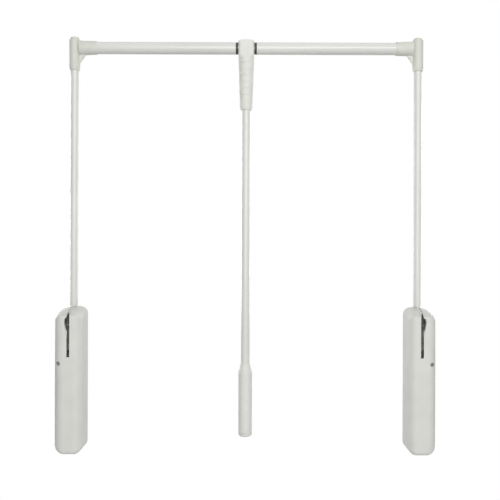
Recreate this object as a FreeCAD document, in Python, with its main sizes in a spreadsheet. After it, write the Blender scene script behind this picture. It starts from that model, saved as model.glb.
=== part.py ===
import FreeCAD, Part
import os
import re

import Sketcher

# Pull-down wardrobe lift with a telescopic rail, held between two wardrobe sides.
# X runs from wall to wall, Y from front to back, Z up. The origin lies half way
# between the walls, at mid depth and at the height of the housings' underside.
# The left half is drawn from its wall, with the arm's axis at Y = 0, then placed.

doc = FreeCAD.newDocument("wardrobe_lift")
sheet = doc.addObject("Spreadsheet::Sheet", "Sizes")

SIZES = {
    # housing
    "span": 770.0,
    "housing_height": 295.0,
    "housing_front": 51.0,
    "housing_back": 29.0,
    "housing_thickness": 56.0,
    "arm_inset": 30.0,
    "shell_wall": 2.5,
    "pivot_drop": 85.0,
    "wall_round": 20.0,
    "crest_round": 45.0,
    "crest_reach": 34.0,
    "cover_round": 16.0,
    "foot_round": 9.0,
    "brow_round": 4.0,
    "slot_width": 5.8,
    "slot_depth": 99.0,
    "slot_back": 9.0,
    "flare_reach": 5.0,
    "flare_height": 10.0,
    "flare_drop": 28.0,
    "flare_taper": 30.0,
    "flare_lap": 2.0,
    "flare_tip": 0.3,
    # screw posts that join the two shells
    "post_radius": 4.5,
    "post_inset": 11.0,
    "post_low": 16.0,
    "post_mid_drop": 145.0,
    "post_high_drop": 41.0,
    "screw_radius": 1.6,
    "screw_head": 3.2,
    "screw_sink": 4.0,
    "screw_bite": 15.0,
    "post_sink": 8.0,
    # wall plate and its locking screw
    "plate_thick": 2.0,
    "plate_recess": 2.5,
    "plate_front": 34.0,
    "plate_width": 44.0,
    "plate_low": 50.0,
    "plate_height": 172.0,
    "plate_gap": 0.5,
    "hole_radius": 2.5,
    "hole_row": 24.0,
    "hole_pitch": 128.0,
    "head_room": 5.0,
    "tab_reach": 16.0,
    "tab_height": 20.0,
    "lock_inset": 10.0,
    "lock_drop": 112.0,
    "lock_radius": 1.75,
    "lock_head": 3.6,
    "lock_hole": 4.1,
    "lock_tail": 3.0,
    "lock_sink": 6.0,
    # pivot
    "pin_radius": 4.0,
    "pin_cover": 4.0,
    "boss_radius": 9.0,
    "boss_gap": 7.6,
    "bush_radius": 6.0,
    "running_gap": 0.05,
    "side_gap": 0.4,
    # lever
    "blade_thick": 4.0,
    "blade_half": 8.0,
    "eye_radius": 11.0,
    "crank_radius": 19.0,
    "crank_start": 47.5,
    "crank_half": 5.0,
    "crank_pin": 2.5,
    "crank_pin_reach": 6.4,
    "roller_radius": 3.5,
    "nose_radius": 84.0,
    "nose_height": 16.0,
    "nose_lead": 27.0,
    "collar_gap": 0.8,
    "collar_height": 3.0,
    "spigot_length": 42.0,
    # spring and its yoke
    "cheek_gap": 0.7,
    "cheek_thick": 3.0,
    "yoke_front": 7.2,
    "yoke_back": 25.4,
    "yoke_rise": 8.0,
    "yoke_drop": 17.0,
    "web_drop": 11.0,
    "web_front": 11.8,
    "yoke_slot_front": 8.6,
    "yoke_slot_back": 23.2,
    "yoke_slot_half": 4.6,
    "rod_setback": 15.0,
    "rod_radius": 4.0,
    "rod_end": 22.0,
    "seat_drop": 145.0,
    "seat_thick": 5.0,
    "seat_front": 3.0,
    "seat_hole": 4.6,
    "ledge_reach": 5.0,
    "ledge_thick": 4.0,
    "spring_low": 36.0,
    "spring_radius": 8.2,
    "wire_radius": 1.4,
    "spring_pitch": 9.5,
    "spring_gap": 0.3,
    "washer_radius": 10.0,
    "washer_thick": 3.0,
    "nut_radius": 6.5,
    "nut_thick": 6.5,
    "buffer_radius": 6.0,
    "buffer_drop": 27.0,
    "buffer_gap": 0.3,
    # arms and corner fittings
    "arm_radius": 8.0,
    "tube_wall": 1.2,
    "arm_screw_radius": 2.0,
    "arm_screw_rise": 22.0,
    "rail_rise": 534.0,
    "corner_radius": 11.0,
    "corner_top": 17.0,
    "corner_drop": 47.0,
    "corner_taper": 9.5,
    "corner_lip": 7.0,
    "arm_stop": 16.0,
    "cap_radius": 8.6,
    "cap_height": 5.0,
    "cap_round": 2.5,
    "socket_root": 15.4,
    "socket_tip": 13.8,
    "socket_length": 46.0,
    "rail_stop": 13.0,
    "gusset_reach": 26.0,
    "gusset_thick": 6.0,
    # telescopic rail
    "rail_radius": 12.5,
    "core_radius": 10.9,
    "core_setback": 67.0,
    "rail_bush_flange": 5.0,
    "rail_bush_sleeve": 20.0,
    "rail_bush_shy": 0.4,
    "hub_gap": 0.4,
    # handle on the rail, pull rod and grip
    "handle_radius": 16.3,
    "handle_neck": 12.4,
    "handle_tip": 10.6,
    "handle_lip": 5.0,
    "handle_over": 15.2,
    "handle_under": 128.0,
    "handle_crown": 5.0,
    "hub_depth": 17.5,
    "hub_corner": 7.0,
    "hub_swell": 21.0,
    "hub_foot": 13.3,
    "hub_under": 13.0,
    "hub_run": 46.0,
    "rib_count": 6,
    "rib_first": 16.5,
    "rib_pitch": 12.8,
    "rib_thick": 10.6,
    "rib_half": 9.0,
    "rib_proud": 0.7,
    "pull_radius": 9.0,
    "pull_seat": 82.0,
    "rod_pin_drop": 100.0,
    "rod_pin_radius": 1.5,
    "grip_radius": 14.4,
    "grip_top": 652.0,
    "grip_length": 150.0,
    "grip_neck": 10.0,
    "grip_shoulder": 20.0,
    "grip_wall": 3.0,
    "grip_seat": 40.0,
    "grip_cap_height": 8.0,
    "grip_cap_round": 5.0,
}

for row, (alias, value) in enumerate(SIZES.items(), 1):
    sheet.set(f"A{row}", alias.replace("_", " "))
    sheet.set(f"B{row}", str(value))
    sheet.setAlias(f"B{row}", alias)
doc.recompute()

# Places worked out from the driving sizes
ARM_Y = "(housing_front - housing_back) / 2"
PIVOT_Z = "(housing_height - pivot_drop)"
RAIL_Z = "(housing_height + rail_rise)"
PIN_Y = "(crank_radius * cos(crank_start))"
PIN_Z = f"({PIVOT_Z} - crank_radius * sin(crank_start))"
LOCK_Z = "(housing_height - lock_drop)"
SEAT_Z = "(housing_height - seat_drop)"
CAVITY_X = "(plate_recess + shell_wall)"
COVER_X = "(housing_thickness - shell_wall)"
BACK_Y = "(housing_back - shell_wall)"
COLLAR_Z = "(housing_height + collar_gap)"
TUBE_Z = "(housing_height + collar_gap + collar_height)"
BORE = "(arm_radius - tube_wall)"
TURN = {
    "X": FreeCAD.Rotation(FreeCAD.Vector(0, 1, 0), 90),
    "Y": FreeCAD.Rotation(FreeCAD.Vector(1, 0, 0), -90),
    "Z": FreeCAD.Rotation(),
}
parts = []
rooms = []


def bind(target, prop, text):
    """Ties a property to the sheet: every alias in the text becomes a cell of it."""
    def cell(word):
        return f"Sizes.{word[0]}" if word[0] in SIZES else word[0]
    target.setExpression(prop, re.sub(r"[a-z][a-z_]*", cell, str(text)))


def place(shape, x="0", y="0", z="0"):
    for axis, text in zip("xyz", (x, y, z)):
        bind(shape, f"Placement.Base.{axis}", text)
    return shape


def box(name, low, high):
    block = doc.addObject("Part::Box", name)
    for prop, start, end in zip(("Length", "Width", "Height"), low, high):
        bind(block, prop, f"({end}) - ({start})")
    return place(block, *low)


def cylinder(name, radius, start, length, along):
    rod = doc.addObject("Part::Cylinder", name)
    bind(rod, "Radius", radius)
    bind(rod, "Height", length)
    rod.Placement = FreeCAD.Placement(FreeCAD.Vector(), TURN[along])
    return place(rod, *start)


def cone(name, first, last, start, length, along):
    taper = doc.addObject("Part::Cone", name)
    bind(taper, "Radius1", first)
    bind(taper, "Radius2", last)
    bind(taper, "Height", length)
    taper.Placement = FreeCAD.Placement(FreeCAD.Vector(), TURN[along])
    return place(taper, *start)


def fuse(name, *shapes):
    joined = doc.addObject("Part::MultiFuse", name)
    joined.Shapes = list(shapes)
    return joined


def common(name, *shapes):
    shared = doc.addObject("Part::MultiCommon", name)
    shared.Shapes = list(shapes)
    return shared


def cut(name, base, *tools):
    result = doc.addObject("Part::Cut", name)
    result.Base = base
    result.Tool = tools[0] if len(tools) == 1 else fuse(f"{name}_cuts", *tools)
    return result


def group(name, *shapes):
    bundle = doc.addObject("Part::Compound", name)
    bundle.Links = list(shapes)
    return bundle


def tube(name, radius, bore, start, length, along):
    outside = cylinder(f"{name}_outside", radius, start, length, along)
    inside = cylinder(f"{name}_inside", bore, start, length, along)
    return cut(name, outside, inside)


def keep(shape, label, x="0", y=ARM_Y, z="0"):
    """Keeps a piece under its label; a plain turned bar is grouped first, so that its own place stays."""
    if shape.TypeId == "Part::Cylinder":
        shape = group(f"{shape.Name}_piece", shape)
    shape.Label = label
    place(shape, x, y, z)
    parts.append(shape)
    return shape


def keep_pair(shape, label):
    """Keeps a left-hand piece, placed from its wall, and its mirrored right-hand twin."""
    left = keep(shape, f"left_{label}", x="-span / 2")
    right = doc.addObject("Part::Mirroring", f"right_{label}_mirror")
    right.Source = left
    right.Normal = FreeCAD.Vector(1, 0, 0)
    right.Label = f"right_{label}"
    parts.append(right)


def origin_plane(body, role):
    return next(item for item in body.Origin.OriginFeatures if item.Role == role)


def new_sketch(body, name, role):
    sketch = body.newObject("Sketcher::SketchObject", name)
    sketch.AttachmentSupport = [(origin_plane(body, role), "")]
    sketch.MapMode = "FlatFace"
    return sketch


def measure(sketch, name, kind, places, value, text):
    index = sketch.addConstraint(Sketcher.Constraint(kind, *places, value))
    sketch.renameConstraint(index, name)
    bind(sketch, f"Constraints.{name}", text)


def number(text):
    """The present value of an expression, for a sketch's first drawing."""
    probe = re.sub(r"[a-z][a-z_]*", lambda word: str(SIZES.get(word[0], word[0])), str(text))
    return float(FreeCAD.Units.Quantity(probe).Value)


def outline_sketch(body, name, role, corners):
    """A closed outline of straight edges; each corner is a pair of expressions, none negative."""
    sketch = new_sketch(body, name, role)
    points = [FreeCAD.Vector(number(across), number(up), 0) for across, up in corners]
    count = len(points)
    for index in range(count):
        sketch.addGeometry(Part.LineSegment(points[index], points[(index + 1) % count]))
    for index in range(count):
        sketch.addConstraint(Sketcher.Constraint("Coincident", index, 2, (index + 1) % count, 1))
    for index, (across, up) in enumerate(corners):
        for kind, text, axis in (("DistanceX", across, -2), ("DistanceY", up, -1)):
            if text == "0":
                sketch.addConstraint(Sketcher.Constraint("PointOnObject", index, 1, axis))
            else:
                measure(sketch, f"{kind}{index}", kind, (-1, 1, index, 1), number(text), text)
    return sketch


def revolve(name, corners):
    """A turned body: corners are (radius, height) pairs, turned about the upright axis."""
    body = doc.addObject("PartDesign::Body", name)
    sketch = outline_sketch(body, f"{name}_section", "XZ_Plane", corners)
    turned = body.newObject("PartDesign::Revolution", f"{name}_turned")
    turned.Profile = sketch
    turned.ReferenceAxis = (sketch, ["V_Axis"])
    turned.Angle = 360
    doc.recompute()
    return body, turned


def round_edges(body, feature, name, radius, wanted):
    """Rounds every edge of the feature for which wanted(edge) holds."""
    edges = [f"Edge{n}" for n, edge in enumerate(feature.Shape.Edges, 1) if wanted(edge)]
    fillet = body.newObject("PartDesign::Fillet", name)
    fillet.Base = (feature, edges)
    bind(fillet, "Radius", radius)
    doc.recompute()
    return fillet


def lies_at(edge, axis, value):
    spots = [vertex.Point for vertex in edge.Vertexes]
    spots.append(edge.valueAt((edge.FirstParameter + edge.LastParameter) / 2))
    return all(abs(spot[axis] - value) < 1e-4 for spot in spots)


# Housing shells
def housing_blank(name, start, end, inset, edge_round, round_at):
    """The housing's side outline, drawn in by inset, from X = start to X = end."""
    body = doc.addObject("PartDesign::Body", name)
    sketch = new_sketch(body, f"{name}_outline", "YZ_Plane")
    bind(sketch, "AttachmentOffset.Base.z", start)
    front = number("housing_front") - number(inset)
    back = number("housing_back") - number(inset)
    low = number(inset)
    pivot = number(PIVOT_Z)
    radius = number("pivot_drop") - number(inset)
    front_top = pivot + (radius ** 2 - front ** 2) ** 0.5
    back_top = pivot + (radius ** 2 - back ** 2) ** 0.5
    corners = [FreeCAD.Vector(-front, low, 0), FreeCAD.Vector(back, low, 0)]
    brow = [FreeCAD.Vector(back, back_top, 0), FreeCAD.Vector(-front, front_top, 0)]
    sketch.addGeometry(Part.LineSegment(corners[0], corners[1]))
    sketch.addGeometry(Part.LineSegment(corners[1], brow[0]))
    crest = FreeCAD.Vector(0, pivot + radius, 0)
    sketch.addGeometry(Part.Arc(brow[0], crest, brow[1]))
    sketch.addGeometry(Part.LineSegment(brow[1], corners[0]))
    for first, second in (((0, 2), (1, 1)), ((1, 2), (2, 1)), ((2, 2), (3, 1)), ((3, 2), (0, 1))):
        sketch.addConstraint(Sketcher.Constraint("Coincident", *first, *second))
    sketch.addConstraint(Sketcher.Constraint("Horizontal", 0))
    sketch.addConstraint(Sketcher.Constraint("Vertical", 1))
    sketch.addConstraint(Sketcher.Constraint("Vertical", 3))
    sketch.addConstraint(Sketcher.Constraint("PointOnObject", 2, 3, -2))
    measure(sketch, "front", "DistanceX", (0, 1, -1, 1), front, f"housing_front - {inset}")
    measure(sketch, "back", "DistanceX", (-1, 1, 0, 2), back, f"housing_back - {inset}")
    measure(sketch, "pivot", "DistanceY", (-1, 1, 2, 3), pivot, PIVOT_Z)
    measure(sketch, "crest", "Radius", (2,), radius, f"pivot_drop - {inset}")
    if inset == "0":
        sketch.addConstraint(Sketcher.Constraint("PointOnObject", 0, 1, -1))
    else:
        measure(sketch, "low", "DistanceY", (-1, 1, 0, 1), low, inset)
    pad = body.newObject("PartDesign::Pad", f"{name}_pad")
    pad.Profile = sketch
    bind(pad, "Length", f"({end}) - ({start})")
    doc.recompute()

    def along_wall(edge, height_test):
        return abs(edge.tangentAt(edge.FirstParameter).x) > 0.999 and height_test(edge.Vertexes[0].Z)
    foot = round_edges(body, pad, f"{name}_foot", f"foot_round - {inset}",
                       lambda edge: along_wall(edge, lambda z: z < pivot))
    brows = round_edges(body, foot, f"{name}_brow", "brow_round",
                        lambda edge: along_wall(edge, lambda z: z > pivot))
    round_edges(body, brows, f"{name}_rim", f"{edge_round} - {inset}",
                lambda edge: lies_at(edge, 0, number(round_at)))
    return body


def post_spots():
    front = "(post_inset - housing_front)"
    back = "(housing_back - post_inset)"
    return ((front, "post_low"), (back, "post_low"), (front, "housing_height - post_mid_drop"),
            (back, "housing_height - post_high_drop"))


def shell_slot(name):
    """The slit in brow and front face that the lever swings through."""
    low = ("arm_inset - slot_width / 2", "-housing_front - 1", "housing_height - slot_depth")
    return box(name, low, ("arm_inset + slot_width / 2", "slot_back", "housing_height + 1"))


def ledge(name, start, end):
    """The ledge under the shell's skin that the spring seat bears on from below."""
    low = (start, "seat_front", f"{SEAT_Z} + seat_thick")
    return box(name, low, (end, BACK_Y, f"{SEAT_Z} + seat_thick + ledge_thick"))


def under_crest(name, blank, inset):
    """Trims a blank of the wall half, whose crest falls towards the wall in one large round."""
    level = "(housing_height - crest_round)"
    front = "-housing_front - 1"
    back = "housing_back + 1"
    low = box(f"{name}_low", ("-1", front, "-1"), ("housing_thickness", back, level))
    arch = cylinder(f"{name}_arch", f"crest_round - {inset}", ("crest_reach", front, level),
                    f"{back} - ({front})", "Y")
    return common(name, blank, fuse(f"{name}_room", low, arch))


def wall_shell():
    outer = housing_blank("wall_outer", "0", "arm_inset", "0", "wall_round", "0")
    outer = under_crest("wall_crest", outer, "0")
    cavity = housing_blank("wall_cavity", CAVITY_X, "arm_inset + 1", "shell_wall", "wall_round", CAVITY_X)
    cavity = under_crest("wall_crest_inside", cavity, "shell_wall")
    rooms.append(cavity)
    skin = cut("wall_skin", outer, cavity)
    boss_length = f"arm_inset - boss_gap - {CAVITY_X} + shell_wall / 2"
    boss_start = (f"{CAVITY_X} - shell_wall / 2", "0", PIVOT_Z)
    solids = [skin, cylinder("wall_boss", "boss_radius", boss_start, boss_length, "X"),
              ledge("wall_ledge", f"{CAVITY_X} - shell_wall / 2", f"{CAVITY_X} + ledge_reach")]
    tools = [shell_slot("wall_slot")]
    for index, (y, z) in enumerate(post_spots()):
        post = (f"{CAVITY_X} - shell_wall / 2", y, z)
        post_length = f"arm_inset - {CAVITY_X} + shell_wall / 2"
        solids.append(cylinder(f"wall_post{index}", "post_radius", post, post_length, "X"))
        tools.append(cylinder(f"wall_post_hole{index}", "screw_radius + running_gap", ("-1", y, z),
                              "arm_inset + 2", "X"))
        tools.append(cylinder(f"wall_post_sink{index}", "screw_head + side_gap", ("-1", y, z),
                              "post_sink + 1", "X"))
    tools.append(cylinder("wall_pin_bore", "pin_radius + running_gap", ("pin_cover", "0", PIVOT_Z),
                          "arm_inset", "X"))
    # recess for the wall plate, with room for its screw heads, its tab and the locking screw
    tools.append(box("plate_recess_cut", ("-1", "-plate_front - plate_gap", "plate_low - plate_gap"),
                     ("plate_recess", "plate_width - plate_front + plate_gap",
                      "plate_low + plate_height + plate_gap")))
    for index, (y, z) in enumerate(plate_holes()):
        tools.append(cylinder(f"head_room{index}", "head_room", ("0", y, z), f"{CAVITY_X} + 1", "X"))
    tools.append(box("tab_room", ("0", "-plate_front - plate_gap", f"{LOCK_Z} - tab_height / 2 - plate_gap"),
                     ("tab_reach + plate_gap", "plate_thick - plate_front + plate_gap",
                      f"{LOCK_Z} + tab_height / 2 + plate_gap")))
    tools.append(cylinder("lock_hole", "lock_hole", ("lock_inset", "-housing_front - 1", LOCK_Z),
                          "housing_front - plate_front + 1", "Y"))
    # the slit widens towards its upper end in the shape of a drop
    flare = doc.addObject("Part::Ellipsoid", "slot_flare")
    bind(flare, "Radius1", "flare_height")
    bind(flare, "Radius2", "flare_reach")
    bind(flare, "Radius3", "flare_reach")
    flare_x = "arm_inset - slot_width / 2"
    place(flare, flare_x, "-housing_front", "housing_height - flare_drop")
    tools.append(flare)
    tools.append(cone("slot_flare_taper", "flare_tip", "flare_reach",
                      (flare_x, "-housing_front", "housing_height - flare_drop - flare_taper - flare_lap"),
                      "flare_taper", "Z"))
    body = common("wall_body", fuse("wall_solids", *solids), outer)
    keep_pair(cut("wall_shell", body, *tools), "wall_shell")


def cover_shell():
    outer = housing_blank("cover_outer", "arm_inset", "housing_thickness", "0", "cover_round",
                          "housing_thickness")
    cavity = housing_blank("cover_cavity", "arm_inset - 1", COVER_X, "shell_wall", "cover_round", COVER_X)
    rooms.append(cavity)
    skin = cut("cover_skin", outer, cavity)
    reach = f"{COVER_X} + shell_wall / 2"
    boss_start = ("arm_inset + boss_gap", "0", PIVOT_Z)
    solids = [skin, cylinder("cover_boss", "boss_radius", boss_start, f"{reach} - arm_inset - boss_gap", "X"),
              ledge("cover_ledge", f"{COVER_X} - ledge_reach", reach)]
    tools = [shell_slot("cover_slot")]
    for index, (y, z) in enumerate(post_spots()):
        solids.append(cylinder(f"cover_post{index}", "post_radius", ("arm_inset", y, z),
                               f"{reach} - arm_inset", "X"))
        tools.append(cylinder(f"cover_post_hole{index}", "screw_radius + running_gap",
                              ("arm_inset - 1", y, z), "screw_bite + 2", "X"))
    tools.append(cylinder("cover_pin_bore", "pin_radius + running_gap", ("arm_inset", "0", PIVOT_Z),
                          "housing_thickness - pin_cover - arm_inset", "X"))
    body = common("cover_body", fuse("cover_solids", *solids), outer)
    keep_pair(cut("cover_shell", body, *tools), "cover_shell")


def cover_screws():
    screws = []
    for index, (y, z) in enumerate(post_spots()):
        shank = cylinder(f"screw_shank{index}", "screw_radius", ("post_sink", y, z),
                         "arm_inset + screw_bite - post_sink", "X")
        head = cylinder(f"screw_head{index}", "screw_head", ("post_sink - screw_sink / 2", y, z),
                        "screw_sink / 2", "X")
        screws.append(fuse(f"cover_screw{index}", shank, head))
    keep_pair(group("cover_screws", *screws), "cover_screws")


# Wall plate
def plate_holes():
    middle_y = "(plate_width / 2 - plate_front)"
    middle_z = "(plate_low + plate_height / 2)"
    return [(f"{middle_y} {side} hole_row / 2", f"{middle_z} {level} hole_pitch / 2")
            for side in "-+" for level in "-+"]


def wall_plate():
    sheet_metal = box("plate_sheet", ("0", "-plate_front", "plate_low"),
                      ("plate_thick", "plate_width - plate_front", "plate_low + plate_height"))
    tab = box("plate_tab", ("0", "-plate_front", f"{LOCK_Z} - tab_height / 2"),
              ("tab_reach", "plate_thick - plate_front", f"{LOCK_Z} + tab_height / 2"))
    holes = [cylinder(f"plate_hole{index}", "hole_radius", ("-1", y, z), "plate_thick + 2", "X")
             for index, (y, z) in enumerate(plate_holes())]
    holes.append(cylinder("plate_lock_hole", "lock_radius + running_gap",
                          ("lock_inset", "-plate_front - 1", LOCK_Z), "plate_thick + 2", "Y"))
    keep_pair(cut("wall_plate", fuse("plate_body", sheet_metal, tab), *holes), "wall_plate")
    head_y = "(lock_sink - housing_front)"
    shank = cylinder("lock_shank", "lock_radius", ("lock_inset", f"{head_y} + shell_wall", LOCK_Z),
                     f"plate_thick + lock_tail - plate_front - {head_y} - shell_wall", "Y")
    head = cylinder("lock_head", "lock_head", ("lock_inset", head_y, LOCK_Z), "shell_wall", "Y")
    keep_pair(fuse("lock_screw", shank, head), "lock_screw")


# Pivot and lever
def pivot():
    pin = cylinder("pivot_pin", "pin_radius", ("pin_cover", "0", PIVOT_Z),
                   "housing_thickness - 2 * pin_cover", "X")
    keep_pair(pin, "pivot_pin")
    half = "(blade_thick / 2 + side_gap)"
    bush = tube("pivot_bush", "bush_radius", "pin_radius + running_gap",
                (f"arm_inset - {half}", "0", PIVOT_Z), f"2 * {half}", "X")
    keep_pair(bush, "pivot_bush")
    spacer_length = f"boss_gap - {half} - side_gap"
    spacers = [tube("wall_spacer", "bush_radius", "pin_radius + running_gap",
                    ("arm_inset - boss_gap", "0", PIVOT_Z), spacer_length, "X"),
               tube("cover_spacer", "bush_radius", "pin_radius + running_gap",
                    (f"arm_inset + {half} + side_gap", "0", PIVOT_Z), spacer_length, "X")]
    keep_pair(group("pivot_spacers", *spacers), "pivot_spacers")


def lever():
    side = "arm_inset - blade_thick / 2"
    blade = box("lever_blade", (side, "-blade_half", PIVOT_Z),
                ("arm_inset + blade_thick / 2", "blade_half", COLLAR_Z))
    eye = cylinder("lever_eye", "eye_radius", (side, "0", PIVOT_Z), "blade_thick", "X")
    crank = doc.addObject("Part::Box", "lever_crank")
    bind(crank, "Length", "blade_thick")
    bind(crank, "Width", "crank_radius")
    bind(crank, "Height", "2 * crank_half")
    start_turn = FreeCAD.Rotation(FreeCAD.Vector(1, 0, 0), -SIZES["crank_start"])
    crank.Placement = FreeCAD.Placement(FreeCAD.Vector(), start_turn)
    bind(crank, "Placement.Rotation.Angle", "-crank_start")
    place(crank, side, "-crank_half * sin(crank_start)", f"{PIVOT_Z} - crank_half * cos(crank_start)")
    crank_eye = cylinder("crank_eye", "crank_half", (side, PIN_Y, PIN_Z), "blade_thick", "X")
    pin = cylinder("crank_pin", "crank_pin", ("arm_inset - crank_pin_reach", PIN_Y, PIN_Z),
                   "2 * crank_pin_reach", "X")
    # a curved lip ahead of the blade closes the slit under the brow while the arm stands up
    sectors = []
    for name, radius in (("nose_outer", "nose_radius"), ("nose_inner", "nose_radius - nose_height")):
        sector = cylinder(name, radius, (side, "0", PIVOT_Z), "blade_thick", "X")
        bind(sector, "Angle", "nose_lead")
        sector.Placement.Rotation = FreeCAD.Rotation(FreeCAD.Vector(1, 0, 0), 180) * TURN["X"]
        sectors.append(sector)
    nose = cut("lever_nose", *sectors)
    collar = cylinder("lever_collar", "arm_radius", ("arm_inset", "0", COLLAR_Z), "collar_height", "Z")
    spigot = cylinder("lever_spigot", f"{BORE} - running_gap", ("arm_inset", "0", TUBE_Z),
                      "spigot_length", "Z")
    body = fuse("lever_body", blade, eye, crank, crank_eye, pin, nose, collar, spigot)
    eye_bore = cylinder("lever_bore", "bush_radius", (f"{side} - 1", "0", PIVOT_Z), "blade_thick + 2", "X")
    dimple = cylinder("spigot_dimple", "arm_screw_radius + running_gap",
                      ("arm_inset", "arm_radius / 3", f"{TUBE_Z} + arm_screw_rise"), "arm_radius", "Y")
    keep_pair(cut("lever", body, eye_bore, dimple), "lever")
    roller_length = "crank_pin_reach - blade_thick / 2 - side_gap"
    rollers = [tube("wall_roller", "roller_radius", "crank_pin + running_gap",
                    ("arm_inset - crank_pin_reach", PIN_Y, PIN_Z), roller_length, "X"),
               tube("cover_roller", "roller_radius", "crank_pin + running_gap",
                    ("arm_inset + blade_thick / 2 + side_gap", PIN_Y, PIN_Z), roller_length, "X")]
    keep_pair(group("crank_rollers", *rollers), "crank_rollers")


# Lift spring and the yoke that the crank pulls on
def spring_yoke():
    solids = []
    inner = "(blade_thick / 2 + cheek_gap)"
    outer = f"({inner} + cheek_thick)"
    for name, start, end in (("wall_cheek", f"arm_inset - {outer}", f"arm_inset - {inner}"),
                             ("cover_cheek", f"arm_inset + {inner}", f"arm_inset + {outer}")):
        solids.append(box(name, (start, "yoke_front", f"{PIN_Z} - yoke_drop"),
                          (end, "yoke_back", f"{PIN_Z} + yoke_rise")))
    solids.append(box("yoke_web", (f"arm_inset - {outer}", "web_front", f"{PIN_Z} - yoke_drop"),
                      (f"arm_inset + {outer}", "yoke_back", f"{PIN_Z} - web_drop")))
    solids.append(cylinder("yoke_rod", "rod_radius", ("arm_inset", "rod_setback", "rod_end"),
                           f"{PIN_Z} - web_drop - rod_end", "Z"))
    slot = box("yoke_slot", (f"arm_inset - {outer} - 1", "yoke_slot_front", f"{PIN_Z} - yoke_slot_half"),
               (f"arm_inset + {outer} + 1", "yoke_slot_back", f"{PIN_Z} + yoke_slot_half"))
    keep_pair(cut("spring_yoke", fuse("yoke_body", *solids), slot), "spring_yoke")


def spring_seat():
    slab = box("seat_slab", ("0", "seat_front", SEAT_Z),
               ("housing_thickness", "housing_back", f"{SEAT_Z} + seat_thick"))
    plate = common("seat_plate", slab, fuse("housing_room", *rooms))
    hole = cylinder("seat_hole", "seat_hole", ("arm_inset", "rod_setback", f"{SEAT_Z} - 1"),
                    "seat_thick + 2", "Z")
    keep_pair(cut("spring_seat", plate, hole), "spring_seat")


def lift_spring():
    low = "(spring_low + spring_gap + wire_radius)"
    helix = doc.addObject("Part::Helix", "spring_path")
    bind(helix, "Pitch", "spring_pitch")
    bind(helix, "Height", f"{SEAT_Z} - spring_gap - wire_radius - {low}")
    bind(helix, "Radius", "spring_radius")
    place(helix, "arm_inset", "rod_setback", low)
    wire = doc.addObject("Part::Circle", "spring_wire")
    bind(wire, "Radius", "wire_radius")
    wire.Placement = FreeCAD.Placement(FreeCAD.Vector(), TURN["Y"])
    place(wire, "arm_inset + spring_radius", "rod_setback", low)
    coil = doc.addObject("Part::Sweep", "spring_coil")
    coil.Sections = [wire]
    coil.Spine = (helix, [])
    coil.Solid = True
    coil.Frenet = True
    keep_pair(coil, "lift_spring")


def spring_end():
    washer = tube("spring_washer", "washer_radius", "rod_radius + running_gap",
                  ("arm_inset", "rod_setback", "spring_low - washer_thick"), "washer_thick", "Z")
    keep_pair(washer, "spring_washer")
    blank = doc.addObject("Part::Prism", "nut_blank")
    blank.Polygon = 6
    bind(blank, "Circumradius", "nut_radius")
    bind(blank, "Height", "nut_thick")
    place(blank, "arm_inset", "rod_setback", "spring_low - washer_thick - nut_thick")
    thread = cylinder("nut_thread", "rod_radius + running_gap", ("arm_inset", "rod_setback", "0"),
                      "spring_low", "Z")
    keep_pair(cut("spring_nut", blank, thread), "spring_nut")


def arm_buffer():
    start = ("arm_inset", "blade_half + buffer_gap", "housing_height - buffer_drop")
    block = cylinder("arm_buffer", "buffer_radius", start, f"{BACK_Y} - blade_half - buffer_gap", "Y")
    keep_pair(block, "arm_buffer")


# Arm and corner fitting
def arm():
    length = f"{RAIL_Z} - arm_stop - ({TUBE_Z})"
    wall = tube("arm_pipe", "arm_radius", BORE, ("arm_inset", "0", TUBE_Z), length, "Z")
    screw_z = f"{TUBE_Z} + arm_screw_rise"
    hole = cylinder("arm_screw_hole", "arm_screw_radius + running_gap", ("arm_inset", "0", screw_z),
                    "2 * arm_radius", "Y")
    keep_pair(cut("arm_tube", wall, hole), "arm_tube")
    screw = cylinder("arm_screw", "arm_screw_radius", ("arm_inset", "arm_radius / 2", screw_z),
                     "arm_radius / 2", "Y")
    keep_pair(screw, "arm_screw")


def corner():
    low = f"({RAIL_Z} - corner_drop)"
    upright = cylinder("corner_upright", "corner_radius", ("arm_inset", "0", f"{low} + corner_lip"),
                       "corner_drop - corner_lip + corner_top", "Z")
    lip = cone("corner_lip", "corner_taper", "corner_radius", ("arm_inset", "0", low), "corner_lip", "Z")
    socket = cone("corner_socket", "socket_root", "socket_tip", ("arm_inset", "0", RAIL_Z),
                  "socket_length", "X")
    half = "gusset_thick / 2"
    web = box("gusset_web", ("arm_inset", f"-{half}", f"{RAIL_Z} - gusset_reach"),
              ("arm_inset + gusset_reach", half, RAIL_Z))
    scoop = cylinder("gusset_scoop", "gusset_reach - corner_radius + 1",
                     ("arm_inset + gusset_reach + 1", "-gusset_thick", f"{RAIL_Z} - gusset_reach - 1"),
                     "2 * gusset_thick", "Y")
    body = fuse("corner_body", upright, lip, socket, cut("gusset", web, scoop))
    arm_bore = cylinder("corner_arm_bore", "arm_radius + running_gap", ("arm_inset", "0", f"{low} - 1"),
                        "corner_drop + 1 - arm_stop", "Z")
    rail_bore = cylinder("corner_rail_bore", "rail_radius + running_gap",
                         ("arm_inset + rail_stop", "0", RAIL_Z), "socket_length", "X")
    keep_pair(cut("corner_fitting", body, arm_bore, rail_bore), "corner_fitting")
    cap, turned = revolve("corner_cap", [("0", "0"), ("cap_radius", "0"), ("cap_radius", "cap_height"),
                                         ("0", "cap_height")])
    round_edges(cap, turned, "corner_cap_edge", "cap_round",
                lambda edge: lies_at(edge, 2, number("cap_height")))
    place(cap, "arm_inset", "0", f"{RAIL_Z} + corner_top")
    keep_pair(group("corner_cap_piece", cap), "corner_cap")


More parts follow.
